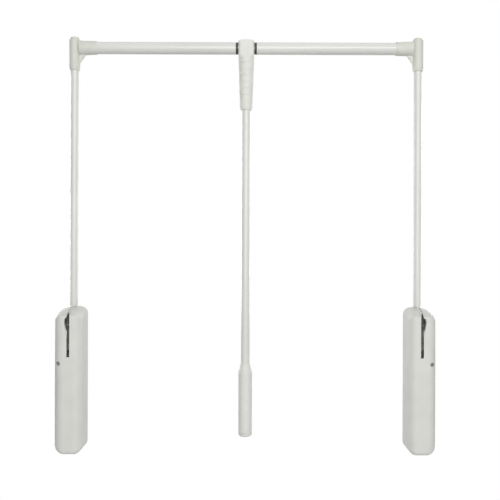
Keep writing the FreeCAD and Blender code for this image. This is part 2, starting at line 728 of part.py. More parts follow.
# Telescopic rail
def rail():
    end = "(span / 2 - handle_radius - hub_gap - rail_bush_flange)"
    start = "arm_inset + rail_stop"
    keep_pair(tube("rail_tube", "rail_radius", "rail_radius - tube_wall", (start, "0", RAIL_Z),
                   f"{end} - ({start})", "X"), "rail_tube")
    bore = "core_radius + running_gap"
    flange = cylinder("bush_flange", "rail_radius - rail_bush_shy", (end, "0", RAIL_Z),
                      "rail_bush_flange", "X")
    sleeve = cylinder("bush_sleeve", "rail_radius - tube_wall - running_gap / 2",
                      (f"{end} - rail_bush_sleeve", "0", RAIL_Z), "rail_bush_sleeve", "X")
    hole = cylinder("bush_bore", bore, (f"{end} - rail_bush_sleeve - 1", "0", RAIL_Z),
                    "rail_bush_sleeve + rail_bush_flange + 2", "X")
    keep_pair(cut("rail_bush", fuse("bush_body", flange, sleeve), hole), "rail_bush")
    core_half = "(span / 2 - core_setback)"
    core = tube("rail_core", "core_radius", "core_radius - tube_wall", (f"-{core_half}", "0", RAIL_Z),
                f"2 * {core_half}", "X")
    keep(core, "rail_core_tube")


# Handle on the rail, pull rod and grip, drawn about their own upright axis
HANDLE_LOW = f"({RAIL_Z} - handle_under)"


def hub():
    """The handle's head: flat flanks against the rail's bushes, running down into the round taper."""
    prism = doc.addObject("PartDesign::Body", "hub_prism")
    corners = [("0", "0"), ("2 * handle_radius", "0"),
               ("2 * handle_radius", "2 * hub_depth"), ("0", "2 * hub_depth")]
    sketch = outline_sketch(prism, "hub_outline", "XY_Plane", corners)
    pad = prism.newObject("PartDesign::Pad", "hub_pad")
    pad.Profile = sketch
    bind(pad, "Length", "handle_over + hub_run")
    doc.recompute()
    round_edges(prism, pad, "hub_corners", "hub_corner",
                lambda edge: abs(edge.tangentAt(edge.FirstParameter).z) > 0.999)
    place(prism, "-handle_radius", "-hub_depth", f"{RAIL_Z} - hub_run")
    limit, turned = revolve("hub_limit", [
        ("0", "0"), ("hub_foot", "0"), ("hub_swell", "hub_run - hub_under"),
        ("hub_swell", "hub_run + handle_over"), ("0", "hub_run + handle_over")])
    round_edges(limit, turned, "hub_crown", "handle_crown",
                lambda edge: lies_at(edge, 2, number("hub_run") + number("handle_over")))
    place(limit, "0", "0", f"{RAIL_Z} - hub_run")
    return common("handle_head", prism, limit)


def handle():
    body, turned = revolve("handle_blank", [
        ("0", "0"), ("handle_tip", "0"), ("handle_neck", "handle_lip"), ("handle_radius", "handle_under"),
        ("handle_radius", "handle_under + handle_over"), ("0", "handle_under + handle_over")])
    round_edges(body, turned, "handle_crown", "handle_crown",
                lambda edge: lies_at(edge, 2, number("handle_under") + number("handle_over")))
    place(body, "0", "0", HANDLE_LOW)
    squared = hub()
    ribs = []
    for index in range(int(SIZES["rib_count"])):
        level = f"({RAIL_Z} - rib_first - {index} * rib_pitch)"
        ribs.append(box(f"rib_bar{index}", ("-rib_half", "-2 * handle_radius", f"{level} - rib_thick"),
                        ("rib_half", "0", level)))
    taper = cone("rib_skin", "handle_neck + rib_proud", "handle_radius + rib_proud",
                 ("0", "0", f"{HANDLE_LOW} + handle_lip"), "handle_under - handle_lip", "Z")
    ribbed = fuse("handle_ribbed", body, squared, common("handle_ribs", taper, fuse("rib_bars", *ribs)))
    rail_bore = cylinder("handle_rail_bore", "core_radius + running_gap", ("-2 * handle_radius", "0", RAIL_Z),
                         "4 * handle_radius", "X")
    rod_bore = cylinder("handle_rod_bore", "pull_radius + running_gap", ("0", "0", f"{HANDLE_LOW} - 1"),
                        "pull_seat + 1", "Z")
    pin_hole = cylinder("handle_pin_hole", "rod_pin_radius + running_gap",
                        ("-handle_radius", "0", f"{RAIL_Z} - rod_pin_drop"), "2 * handle_radius", "X")
    screws = []
    holes = [rail_bore, rod_bore, pin_hole]
    level = f"{RAIL_Z} - rail_radius - 2 * screw_head"
    for index, side in enumerate("-+"):
        x = f"{side} handle_radius / 2"
        shank = cylinder(f"hub_shank{index}", "screw_radius", (x, "-handle_radius / 3", level),
                         "handle_radius / 2 + handle_radius / 3", "Y")
        head = cylinder(f"hub_head{index}", "screw_head", (x, "handle_radius / 2", level),
                        "screw_sink / 2", "Y")
        screws.append(fuse(f"hub_screw{index}", shank, head))
        holes.append(cylinder(f"hub_hole{index}", "screw_radius + running_gap",
                              (x, "-handle_radius / 3 - side_gap", level), "handle_radius", "Y"))
        holes.append(cylinder(f"hub_sink{index}", "screw_head + running_gap", (x, "handle_radius / 2", level),
                              "handle_radius", "Y"))
    whole = cut("handle_whole", ribbed, *holes)
    for name, start, end in (("handle_front", "-2 * handle_radius", "0"),
                             ("handle_rear", "0", "2 * handle_radius")):
        half = box(f"{name}_room", ("-2 * handle_radius", start, f"{HANDLE_LOW} - 1"),
                   ("2 * handle_radius", end, f"{RAIL_Z} + 2 * handle_radius"))
        keep(common(name, whole, half), name)
    keep(group("handle_screws", *screws), "handle_screws")


def pull_rod():
    top = f"({HANDLE_LOW} + pull_seat)"
    low = f"({RAIL_Z} - grip_top - grip_seat)"
    pipe = tube("pull_pipe", "pull_radius", "pull_radius - tube_wall", ("0", "0", low), f"{top} - {low}", "Z")
    pin_z = f"{RAIL_Z} - rod_pin_drop"
    hole = cylinder("pull_pin_hole", "rod_pin_radius + running_gap", ("-handle_radius", "0", pin_z),
                    "2 * handle_radius", "X")
    keep(cut("pull_rod_tube", pipe, hole), "pull_rod_tube")
    pin = cylinder("rod_pin", "rod_pin_radius", ("-pull_radius - 1", "0", pin_z), "2 * pull_radius + 2", "X")
    keep(pin, "pull_rod_pin")


def grip():
    length = "(grip_length - grip_cap_height)"
    body, turned = revolve("grip_blank", [
        ("0", "0"), ("grip_radius", "0"), ("grip_radius", "grip_length - grip_cap_height - grip_shoulder"),
        ("grip_neck", "grip_length - grip_cap_height"), ("0", "grip_length - grip_cap_height")])
    low = f"({RAIL_Z} - grip_top - {length})"
    place(body, "0", "0", low)
    seat = cylinder("grip_seat", "pull_radius + running_gap", ("0", "0", f"{RAIL_Z} - grip_top - grip_seat"),
                    "grip_seat + 1", "Z")
    hollow = cylinder("grip_hollow", "grip_radius - grip_wall", ("0", "0", f"{low} - 1"),
                      f"{length} - grip_seat - 2 * grip_wall + 1", "Z")
    keep(cut("pull_grip", body, seat, hollow), "pull_grip")
    cap, turned = revolve("grip_cap", [
        ("0", "0"), ("grip_radius", "0"), ("grip_radius", "grip_cap_height"),
        ("grip_radius - grip_wall - running_gap", "grip_cap_height"),
        ("grip_radius - grip_wall - running_gap", "2 * grip_cap_height"), ("0", "2 * grip_cap_height")])
    round_edges(cap, turned, "grip_cap_edge", "grip_cap_round", lambda edge: lies_at(edge, 2, 0))
    keep(cap, "pull_grip_cap", z=f"{RAIL_Z} - grip_top - grip_length")


for make in (wall_shell, cover_shell, cover_screws, wall_plate, pivot, lever, spring_yoke, spring_seat,
             lift_spring, spring_end, arm_buffer, arm, corner, rail, handle, pull_rod, grip):
    make()
doc.recompute()

for item in doc.Objects:
    faults = [state for state in item.State if state in ("Invalid", "Error")]
    if faults:
        raise RuntimeError(f"{item.Label}: {faults}")
for item in parts:
    if item.Shape.isNull() or not item.Shape.isValid() or not item.Shape.Solids:
        raise RuntimeError(f"{item.Label}: no valid solid")

os.makedirs("parts", exist_ok=True)
for item in parts:
    item.Shape.exportStep(f"parts/{item.Label}.step")
    print(item.Label, len(item.Shape.Solids), round(item.Shape.Volume, 1))
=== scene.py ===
# %% [markdown]
# # A pull-down wardrobe lift with a telescopic rail
# Two housings hang on the side walls of a wardrobe. An arm swings out of each, and a rail that
# telescopes joins the arms. A hanging rod with a grip pulls the rail down to the person below.
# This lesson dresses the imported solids: most keep their own shape and only get a finish, and the
# turned and moulded pieces that a hand or an eye meets first are rebuilt with softer forms.

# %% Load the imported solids
import math

import bmesh
import bpy
from mathutils import Matrix, Vector


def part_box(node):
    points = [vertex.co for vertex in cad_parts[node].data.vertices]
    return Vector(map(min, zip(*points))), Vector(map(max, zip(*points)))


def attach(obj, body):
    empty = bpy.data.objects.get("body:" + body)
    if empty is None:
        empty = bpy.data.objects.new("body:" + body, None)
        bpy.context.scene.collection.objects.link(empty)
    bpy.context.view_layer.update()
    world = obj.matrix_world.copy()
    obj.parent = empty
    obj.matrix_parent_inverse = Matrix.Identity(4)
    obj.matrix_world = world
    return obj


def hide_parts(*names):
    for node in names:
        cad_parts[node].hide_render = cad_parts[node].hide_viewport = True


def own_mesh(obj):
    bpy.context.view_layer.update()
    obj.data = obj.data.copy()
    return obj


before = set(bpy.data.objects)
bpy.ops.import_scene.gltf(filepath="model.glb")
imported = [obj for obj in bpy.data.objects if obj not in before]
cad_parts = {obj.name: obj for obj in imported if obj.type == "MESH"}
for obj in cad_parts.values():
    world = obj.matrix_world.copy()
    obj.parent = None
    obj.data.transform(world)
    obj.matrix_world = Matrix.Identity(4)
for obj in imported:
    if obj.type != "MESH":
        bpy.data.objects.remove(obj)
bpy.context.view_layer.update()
scene = bpy.context.scene
MM = 0.001

# %% [markdown]
# ## The camera
# The photograph is a square frame taken from straight in front, with the lens about level with
# the middle of the lift. The arms stand 343 pixels apart, and in millimetres 710, which gives the
# ratio of focal length to distance. How much of the housings' inner faces shows gives the distance.

# %% Camera at the photograph's place
PHOTO_SIZE = 500
FOCAL_PIXELS = 739.0
SENSOR_WIDTH = 36.0
CAMERA_PLACE = (0.009, -1.519, 0.412)
CAMERA_ROLL = math.radians(-0.2)
FAR_CLIP = 50.0

camera_data = bpy.data.cameras.new("photo_camera")
camera_data.sensor_width = SENSOR_WIDTH
camera_data.lens = FOCAL_PIXELS / PHOTO_SIZE * SENSOR_WIDTH
camera_data.clip_end = FAR_CLIP
camera = bpy.data.objects.new("photo_camera", camera_data)
camera.location = CAMERA_PLACE
camera.rotation_euler = (math.pi / 2, CAMERA_ROLL, 0)
scene.collection.objects.link(camera)
scene.camera = camera
print("lens in mm:", round(camera_data.lens, 1))

# %% [markdown]
# ## Helpers for node trees
# Nodes draw the world, the finishes and the forms that repeat. Small helpers keep that readable:
# one fills a node's inputs with values or links, one adds a node and fills it, one does a sum.

# %% Node helpers


def fill(tree, node, values):
    """Sets a node's inputs, each to a value or to a link from another node's output."""
    for socket, value in values.items():
        if isinstance(value, bpy.types.NodeSocket):
            tree.links.new(value, node.inputs[socket])
        else:
            node.inputs[socket].default_value = value


def add(tree, kind, values=None, **options):
    """Adds a node of the given kind, sets its options and fills its inputs."""
    node = tree.nodes.new(kind)
    for name, value in options.items():
        setattr(node, name, value)
    fill(tree, node, values or {})
    return node


def maths(tree, operation, first, second):
    return add(tree, "ShaderNodeMath", {0: first, 1: second}, operation=operation).outputs[0]


print("node helpers ready")

# %% [markdown]
# ## The world
# A product picture on white has broad, soft light and nothing else to see. The world is white to
# the camera and to mirror-like surfaces, but lights the lift only weakly, so that undersides and
# outer flanks fall off into grey.

# %% White world
scene.view_settings.view_transform = "Standard"
WHITE = (1, 1, 1, 1)
AMBIENT_TINT = (0.98, 0.99, 1, 1)
AMBIENT = 0.27


def seen_directly(tree):
    """1 where the camera, a reflection or a clear surface looks straight at it, 0 for lighting."""
    rays = add(tree, "ShaderNodeLightPath").outputs
    seen = maths(tree, "MAXIMUM", rays["Is Camera Ray"], rays["Is Glossy Ray"])
    return maths(tree, "MAXIMUM", seen, rays["Is Transmission Ray"])


world = bpy.data.worlds.new("studio_white")
scene.world = world
world.use_nodes = True
tree = world.node_tree
tree.nodes.clear()
shown = add(tree, "ShaderNodeBackground", {"Color": WHITE})
lighting = add(tree, "ShaderNodeBackground", {"Color": AMBIENT_TINT, "Strength": AMBIENT})
mixed = add(tree, "ShaderNodeMixShader", {
    0: seen_directly(tree), 1: lighting.outputs[0], 2: shown.outputs[0]})
add(tree, "ShaderNodeOutputWorld", {"Surface": mixed.outputs[0]})
print("world nodes:", len(tree.nodes))

# %% [markdown]
# ## The lamps
# A large soft box in front, to the right and above gives the fronts their light. A small fill
# behind the camera brightens what faces it, one box overhead lights the tops, and two behind the
# lift keep its back and its edges from going dark.

# %% Soft boxes
AIM = Vector((0, 0, 0.45))
# Each lamp: its place and its size in metres, and its power in watts
LAMPS = {
    "front_softbox": ((0.45, -2.6, 1.35), (1.8, 1.4), 46),
    "camera_fill": ((0.0, -2.0, 0.5), (0.4, 0.4), 6.5),
    "overhead_softbox": ((0.1, -0.2, 2.7), (1.8, 1.2), 7),
    "rear_left_softbox": ((-0.95, 1.1, 0.6), (0.5, 0.9), 14),
    "rear_right_softbox": ((0.95, 1.1, 0.6), (0.5, 0.9), 10),
}


def soft_lamp(name, place, size, power):
    """A soft box that faces the lift's middle."""
    data = bpy.data.lights.new(name, "AREA")
    data.shape = "RECTANGLE"
    data.size, data.size_y = size
    data.energy = power
    lamp = bpy.data.objects.new(name, data)
    lamp.location = place
    lamp.rotation_euler = (AIM - Vector(place)).to_track_quat("-Z", "Y").to_euler()
    scene.collection.objects.link(lamp)


for name, (place, size, power) in LAMPS.items():
    soft_lamp(name, place, size, power)
print("lamps:", [lamp.name for lamp in bpy.data.lights])

# %% [markdown]
# ## The floor
# The lift hangs on walls, so the floor lies well below it. It is plain and pale, and is seen
# through from underneath. Its own shade fades into the white surround a few steps from the lift.

# %% Pale floor
FLOOR_LEVEL = -0.7
FLOOR_HALF = 6.0
FLOOR_GREY = (0.68, 0.68, 0.68, 1)
FADE_FROM, FADE_TO = 0.7, 1.9
GLOW_NEAR, GLOW_FAR = 0.6, 1.0

floor_mesh = bpy.data.meshes.new("studio_floor")
square = [(-FLOOR_HALF, -FLOOR_HALF), (FLOOR_HALF, -FLOOR_HALF),
          (FLOOR_HALF, FLOOR_HALF), (-FLOOR_HALF, FLOOR_HALF)]
floor_mesh.from_pydata([(x, y, FLOOR_LEVEL) for x, y in square], [], [(0, 1, 2, 3)])
floor = bpy.data.objects.new("studio_floor", floor_mesh)
scene.collection.objects.link(floor)

floor_finish = bpy.data.materials.new("pale_floor")
floor_finish.use_nodes = True
tree = floor_finish.node_tree
tree.nodes.clear()
matt = add(tree, "ShaderNodeBsdfDiffuse", {"Color": FLOOR_GREY})
glow = add(tree, "ShaderNodeEmission", {"Color": WHITE, "Strength": 1.0})
clear = add(tree, "ShaderNodeBsdfTransparent")
spot = add(tree, "ShaderNodeTexCoord").outputs["Object"]
distance = add(tree, "ShaderNodeVectorMath", {0: spot}, operation="LENGTH").outputs["Value"]
fade = add(tree, "ShaderNodeMapRange", {
    "Value": distance, "From Min": FADE_FROM, "From Max": FADE_TO,
    "To Min": GLOW_NEAR, "To Max": GLOW_FAR})
glow_share = maths(tree, "MULTIPLY", fade.outputs["Result"], seen_directly(tree))
top_side = add(tree, "ShaderNodeMixShader", {
    0: glow_share, 1: matt.outputs[0], 2: glow.outputs[0]})
underside = add(tree, "ShaderNodeNewGeometry").outputs["Backfacing"]
both_sides = add(tree, "ShaderNodeMixShader", {
    0: underside, 1: top_side.outputs[0], 2: clear.outputs[0]})
add(tree, "ShaderNodeOutputMaterial", {"Surface": both_sides.outputs[0]})
floor_mesh.materials.append(floor_finish)
print("floor level in m:", FLOOR_LEVEL)

# %% [markdown]
# ## Finishes
# Every finish is a small network of nodes on Object coordinates, in metres. A cloudy noise moves
# the colour a little, as pigment does in a moulding or paint over a tube, and a fine noise gives
# bump: spark-eroded grain for plastic, orange peel for sprayed paint. Values that are the same
# all over stay on the shader's own sockets.

# %% Tools for a finish
NOISE_LOW, NOISE_HIGH = 0.3, 0.7
PATCHES_PER_CLOUD = 3
COAT_ROUGHNESS = 0.18
EVEN = (1, 1, 1)


def srgb(levels):
    """Linear light from the 0-255 levels that a screen shows."""
    shares = [level / 255 for level in levels]
    return [v / 12.92 if v < 0.04045 else ((v + 0.055) / 1.055) ** 2.4 for v in shares]


def noise_range(tree, coordinate, scale, low, high, stretch, detail=3):
    """Noise of the given scale per metre, remapped to run from low to high."""
    mapping = add(tree, "ShaderNodeMapping", {"Vector": coordinate, "Scale": stretch})
    noise = add(tree, "ShaderNodeTexNoise", {
        "Vector": mapping.outputs["Vector"], "Scale": scale, "Detail": detail})
    spread = add(tree, "ShaderNodeMapRange", {
        "Value": noise.outputs["Fac"], "From Min": NOISE_LOW, "From Max": NOISE_HIGH,
        "To Min": low, "To Max": high})
    return spread.outputs["Result"]


def finish(name, light, dark, cloud, rough, grain, depth,
           metal=0.0, coat=0.0, stretch=EVEN, level=0.5):
    """Two colours mixed by clouds, a range of roughness and a fine bump of the given depth."""
    material = bpy.data.materials.new(name)
    material.use_nodes = True
    tree = material.node_tree
    coordinate = add(tree, "ShaderNodeTexCoord").outputs["Object"]
    clouds = noise_range(tree, coordinate, cloud, 0, 1, stretch)
    ramp = add(tree, "ShaderNodeValToRGB", {"Fac": clouds})
    ramp.color_ramp.elements[0].color = (*srgb(dark), 1)
    ramp.color_ramp.elements[1].color = (*srgb(light), 1)
    patches = noise_range(tree, coordinate, cloud * PATCHES_PER_CLOUD, *rough, stretch)
    grains = noise_range(tree, coordinate, grain, 0, 1, stretch, detail=2)
    bump = add(tree, "ShaderNodeBump", {"Strength": 1.0, "Distance": depth, "Height": grains})
    fill(tree, tree.nodes["Principled BSDF"], {
        "Base Color": ramp.outputs["Color"], "Roughness": patches,
        "Normal": bump.outputs["Normal"], "Metallic": metal, "Specular IOR Level": level,
        "Coat Weight": coat, "Coat Roughness": COAT_ROUGHNESS})
    return material


print("finish tools ready")

# %% [markdown]
# ## The finishes in sight
# The housings, corner fittings, handle and grip are moulded in the same pale warm grey, each batch
# a little different. The tubes are steel under sprayed paint, smoother than the plastic, with a
# faint streak along their length. Only the rail's bushes are black.

# %% Plastics and paint
ALONG_ARM = (1, 1, 0.15)
ALONG_RAIL = (0.15, 1, 1)
MOULDED = {"grain": 2600, "depth": 3e-5}
SPRAYED = {"cloud": 40, "rough": (0.26, 0.36), "grain": 420, "depth": 2e-5,
           "coat": 0.1, "level": 0.4}
IN_SIGHT = {
    "housing_plastic": {
        "light": (215, 215, 210), "dark": (209, 209, 204), "cloud": 30, "rough": (0.5, 0.6),
        "level": 0.35, **MOULDED},
    "fitting_plastic": {
        "light": (211, 212, 203), "dark": (204, 205, 196), "cloud": 60, "rough": (0.46, 0.56),
        "level": 0.35, **MOULDED},
    "grip_plastic": {
        "light": (221, 221, 216), "dark": (215, 215, 210), "cloud": 40, "rough": (0.5, 0.6),
        "level": 0.3, **MOULDED},
    "handle_plastic": {
        "light": (222, 222, 216), "dark": (216, 216, 209), "cloud": 60, "rough": (0.5, 0.6),
        "level": 0.3, **MOULDED},
    "tube_paint": {
        "light": (218, 218, 213), "dark": (212, 212, 207), "stretch": ALONG_ARM, **SPRAYED},
    "rail_paint": {
        "light": (216, 216, 211), "dark": (210, 210, 205), "stretch": ALONG_RAIL, **SPRAYED},
    "lever_paint": {
        "light": (214, 215, 210), "dark": (206, 207, 202), "cloud": 60, "rough": (0.34, 0.44),
        "grain": 500, "depth": 2e-5},
    "bush_plastic": {
        "light": (56, 56, 55), "dark": (44, 44, 43), "cloud": 80, "rough": (0.5, 0.62),
        "grain": 2200, "depth": 3e-5},
}
finishes = {name: finish(name, **look) for name, look in IN_SIGHT.items()}
print("finishes in sight:", sorted(finishes))

# %% [markdown]
# ## The hidden finishes
# Behind the shells are zinc-plated steel with its soft blotches, a drawn and oiled spring wire,
# bright turned pins, natural nylon that yellows a little, and a rubber buffer. The screw that
# locks a housing sits in a recess in shade, so its zinc is darkened to paint that shade in.

# %% Metals, nylon and rubber
HIDDEN = {
    "zinc_steel": {
        "light": (192, 194, 197), "dark": (178, 181, 185), "cloud": 110, "rough": (0.36, 0.46),
        "grain": 900, "depth": 6e-6, "metal": 1},
    # Zinc darkened as painted shade: it stands in for the shade in the lock screw's recess
    "painted_shade_zinc": {
        "light": (142, 142, 139), "dark": (120, 120, 117), "cloud": 200, "rough": (0.36, 0.46),
        "grain": 900, "depth": 6e-6, "metal": 1},
    "bright_steel": {
        "light": (214, 214, 212), "dark": (190, 190, 190), "cloud": 200, "rough": (0.18, 0.3),
        "grain": 1500, "depth": 6e-6, "metal": 1},
    "spring_wire": {
        "light": (120, 119, 116), "dark": (74, 73, 71), "cloud": 260, "rough": (0.3, 0.5),
        "grain": 1200, "depth": 1e-5, "metal": 1},
    "natural_nylon": {
        "light": (232, 227, 210), "dark": (222, 216, 196), "cloud": 90, "rough": (0.42, 0.52),
        "grain": 1800, "depth": 2e-5},
    "buffer_rubber": {
        "light": (52, 52, 52), "dark": (36, 36, 37), "cloud": 120, "rough": (0.75, 0.9),
        "grain": 1600, "depth": 6e-5},
}
finishes.update({name: finish(name, **look) for name, look in HIDDEN.items()})
print("finishes in all:", len(finishes))

# %% [markdown]
# ## Which solid wears which finish
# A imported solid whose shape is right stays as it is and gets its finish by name. The list pairs
# the end of a node's name with a finish, so the left and right twins are dressed alike.

# %% Dress the solids
DRESS = {
    "wall_shell": "housing_plastic", "cover_shell": "housing_plastic",
    "corner_fitting": "fitting_plastic", "corner_cap": "fitting_plastic",
    "handle_front": "handle_plastic", "handle_rear": "handle_plastic",
    "pull_grip": "grip_plastic", "pull_grip_cap": "grip_plastic",
    "arm_tube": "tube_paint", "pull_rod_tube": "tube_paint", "rail_tube": "rail_paint",
    "rail_core_tube": "zinc_steel", "rail_bush": "bush_plastic", "lever": "lever_paint",
    "wall_plate": "zinc_steel", "lock_screw": "zinc_steel", "cover_screws": "zinc_steel",
    "handle_screws": "zinc_steel", "arm_screw": "zinc_steel", "spring_nut": "zinc_steel",
    "spring_washer": "zinc_steel", "spring_seat": "zinc_steel", "spring_yoke": "zinc_steel",
    "pivot_pin": "bright_steel", "pull_rod_pin": "bright_steel", "lift_spring": "spring_wire",
    "pivot_bush": "natural_nylon", "pivot_spacers": "natural_nylon",
    "crank_rollers": "natural_nylon", "arm_buffer": "buffer_rubber",
}

for name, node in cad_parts.items():
    plain = name.split("_", 1)[1] if name.startswith(("left_", "right_")) else name
    node.data.materials.clear()
    node.data.materials.append(finishes[DRESS[plain]])
print("dressed solids:", len(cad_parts))

# %% [markdown]
# ## A lathe
# Turned pieces come from a lathe: rows of radius and height, carried round an upright axis. All of
# them stand on the rod's axis, in the plane of the arms. A row can also be squared off.

# %% Lathe
RAIL_LEVEL = 829.0
ARM_DEPTH = 11.0
TURN_STEPS = 96


def as_mesh(form, name):
    """Hands a working form over to a new mesh."""
    mesh = bpy.data.meshes.new(name)
    form.to_mesh(mesh)
    form.free()
    return mesh


def lathe(profile):
    """A turned form about the rod's axis, from rows in mm that start and end on the axis.

    A third value on a row squares the ring off: 2 is a circle, higher powers flatten its flanks.
    """
    form = bmesh.new()
    rings = []
    for radius, height, *power in profile:
        bend = 2 / power[0] if power else 1.0
        ring = []
        for step in range(TURN_STEPS if radius else 1):
            angle = 2 * math.pi * step / TURN_STEPS
            across, away = math.cos(angle), math.sin(angle)
            across = radius * math.copysign(abs(across) ** bend, across)
            away = radius * math.copysign(abs(away) ** bend, away)
            ring.append(form.verts.new((across * MM, (ARM_DEPTH + away) * MM, height * MM)))
        rings.append(ring)
    for low, high in zip(rings, rings[1:]):
        for step in range(TURN_STEPS):
            after = (step + 1) % TURN_STEPS
            corners = [low[step % len(low)], low[after % len(low)],
                       high[after % len(high)], high[step % len(high)]]
            form.faces.new(list(dict.fromkeys(corners)))
    bmesh.ops.recalc_face_normals(form, faces=form.faces)
    return as_mesh(form, "turned")


def ease(start, end, share):
    """A smooth step from start to end."""
    return start + (end - start) * share * share * (3 - 2 * share)


def within(value, low, high):
    """How far a value has come from low to high, from 0 to 1."""
    return min(1, max(0, (value - low) / (high - low)))


print("lathe steps round:", TURN_STEPS)

# %% [markdown]
# ## Cutters
# Boxes and round bars cut bores and part the halves, always by an exact Boolean. An object holds
# the mesh only while its modifiers work.

# %% Boxes, bars and Booleans
BAR_SIDES = 64


def block(low, high):
    """A plain box between two corners, in mm."""
    form = bmesh.new()
    bmesh.ops.create_cube(form, size=1)
    low, high = Vector(low) * MM, Vector(high) * MM
    for corner in form.verts:
        corner.co = [a + (b - a) * (c + 0.5) for a, b, c in zip(low, high, corner.co)]
    return as_mesh(form, "box")


def round_bar(radius, start, direction, length):
    """A round bar from a start point along a direction, in mm."""
    form = bmesh.new()
    bmesh.ops.create_cone(form, cap_ends=True, segments=BAR_SIDES, radius1=radius * MM,
                          radius2=radius * MM, depth=length * MM)
    turn = Vector(direction).to_track_quat("Z", "Y").to_matrix().to_4x4()
    middle = (Vector(start) + Vector(direction).normalized() * length / 2) * MM
    form.transform(Matrix.Translation(middle) @ turn)
    return as_mesh(form, "bar")


def held(name, mesh):
    """An object that holds a mesh."""
    holder = bpy.data.objects.new(name, mesh)
    scene.collection.objects.link(holder)
    return holder


def settled(holder):
    """The holder's mesh with its modifiers worked in; the holder itself is taken away."""
    graph = bpy.context.evaluated_depsgraph_get()
    mesh = bpy.data.meshes.new_from_object(holder.evaluated_get(graph))
    bpy.data.objects.remove(holder)
    return mesh


def cut(mesh, tool, operation="DIFFERENCE"):
    """A mesh with a tool cut away from it, or joined to it, or what the two share."""
    body, cutter = held("blank", mesh), held("cutter", tool)
    boolean = body.modifiers.new("bore", "BOOLEAN")
    boolean.operation = operation
    boolean.solver = "EXACT"
    boolean.object = cutter
    result = settled(body)
    bpy.data.objects.remove(cutter)
    return result


print("cutter sides:", BAR_SIDES)

# %% [markdown]
# ## Handing a piece over
# A finished piece keeps its place in its mesh, rides on the body that the solid belonged to, and
# stands for that solid.

# %% Hand-over
SHARP_ANGLE = math.radians(32)


def hand_over(name, mesh, finish_name, body, solid):
    """Makes a finished piece of a mesh, shaded smooth except at true edges, for a solid."""
    mesh.materials.clear()
    mesh.materials.append(finishes[finish_name])
    mesh.shade_smooth()
    mesh.set_sharp_from_angle(angle=SHARP_ANGLE)
    piece = held(name, mesh)
    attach(piece, body)
    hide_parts(solid)
    print(name, "faces:", len(mesh.polygons))
    return piece


print("edges stay sharp from degrees:", round(math.degrees(SHARP_ANGLE)))

# %% [markdown]
# ## The handle's outline
# The handle tapers down to a rounded foot and is crowned on top. Its head is squared off, so that
# flat flanks meet the rail's black bushes, and the squaring eases in over the top of the stem.

# %% Handle blank
HANDLE_DROP = 128.0
HANDLE_FOOT = RAIL_LEVEL - HANDLE_DROP
HANDLE_HEIGHT = 143.2
FOOT_RADIUS, STEM_RADIUS, HEAD_RADIUS = 13.2, 16.5, 16.3
STEM_LOW, STEM_HIGH, HEAD_LOW = 8.0, 108.0, 120.0
SQUARE_FROM, SQUARE_TO, SQUARE_POWER = 103.0, 117.0, 6.0
CROWN = 4.0
STEM_ROWS, CROWN_ROWS = 48, 9
# The foot's rounding: how much less than the foot's radius, and how high above the foot
FOOT_ROUND = ((2.6, 0.0), (2.1, 0.4), (1.8, 1.2), (1.0, 3.2), (0.4, 4.6), (0.05, 6.2), (0.0, 8.0))


def stem_radius(height):
    """The tapered stem's radius at a height above the handle's foot."""
    share = (height - STEM_LOW) / (STEM_HIGH - STEM_LOW)
    return FOOT_RADIUS + (STEM_RADIUS - FOOT_RADIUS) * share


profile = [(0, HANDLE_FOOT)]
profile += [(FOOT_RADIUS - less, HANDLE_FOOT + height) for less, height in FOOT_ROUND]
for step in range(1, STEM_ROWS + 1):
    height = STEM_LOW + (HEAD_LOW - STEM_LOW) * step / STEM_ROWS
    stem = stem_radius(min(height, STEM_HIGH))
    radius = ease(stem, HEAD_RADIUS, within(height, STEM_HIGH, HEAD_LOW))
    power = ease(2, SQUARE_POWER, within(height, SQUARE_FROM, SQUARE_TO))
    profile.append((radius, HANDLE_FOOT + height, power))
crown_level = HANDLE_FOOT + HANDLE_HEIGHT - CROWN
profile.append((HEAD_RADIUS, crown_level, SQUARE_POWER))
for step in range(1, CROWN_ROWS + 1):
    turn = math.pi / 2 * step / CROWN_ROWS
    radius = HEAD_RADIUS - CROWN + CROWN * math.cos(turn)
    profile.append((radius, crown_level + CROWN * math.sin(turn), SQUARE_POWER))
profile.append((0, HANDLE_FOOT + HANDLE_HEIGHT))
blank = lathe(profile)
print("handle rows:", len(profile))

# %% [markdown]
# ## The handle's bores and halves
# Two halves clamp round the rail's core and round the pull rod. Two screws draw them together from
# the rear. Each half keeps a hair of room at the seam, which shows as the fine parting line that
# such mouldings have.

# %% Handle halves
CORE_BORE, CORE_REACH = 11.0, 40.0
ROD_BORE, ROD_SOCKET = 9.1, 82.0
SCREW_BORE, SCREW_REACH = 3.3, 20.0
SCREW_SIDE = 8.15
SCREW_SEAT = ARM_DEPTH + SCREW_SIDE
SCREW_LEVEL = RAIL_LEVEL - 18.9
PAST = 5.0
SEAM = 0.12
HALF_LOW, HALF_HIGH = (-30.0, -20.0, 650.0), (30.0, 40.0, 900.0)

core_start = (-CORE_REACH, ARM_DEPTH, RAIL_LEVEL)
blank = cut(blank, round_bar(CORE_BORE, core_start, (1, 0, 0), 2 * CORE_REACH))
rod_start = (0, ARM_DEPTH, HANDLE_FOOT - PAST)
blank = cut(blank, round_bar(ROD_BORE, rod_start, (0, 0, 1), ROD_SOCKET + PAST))
clamp_spots = [(side, SCREW_SEAT, SCREW_LEVEL) for side in (-SCREW_SIDE, SCREW_SIDE)]
for spot in clamp_spots:
    blank = cut(blank, round_bar(SCREW_BORE, spot, (0, 1, 0), SCREW_REACH))
front_high = (HALF_HIGH[0], ARM_DEPTH - SEAM, HALF_HIGH[2])
rear_low = (HALF_LOW[0], ARM_DEPTH + SEAM, HALF_LOW[2])
front_half = cut(blank.copy(), block(HALF_LOW, front_high), "INTERSECT")
rear_half = cut(blank, block(rear_low, HALF_HIGH), "INTERSECT")
hand_over("handle_rear_half", rear_half, "handle_plastic", "pull_rod", "handle_rear")

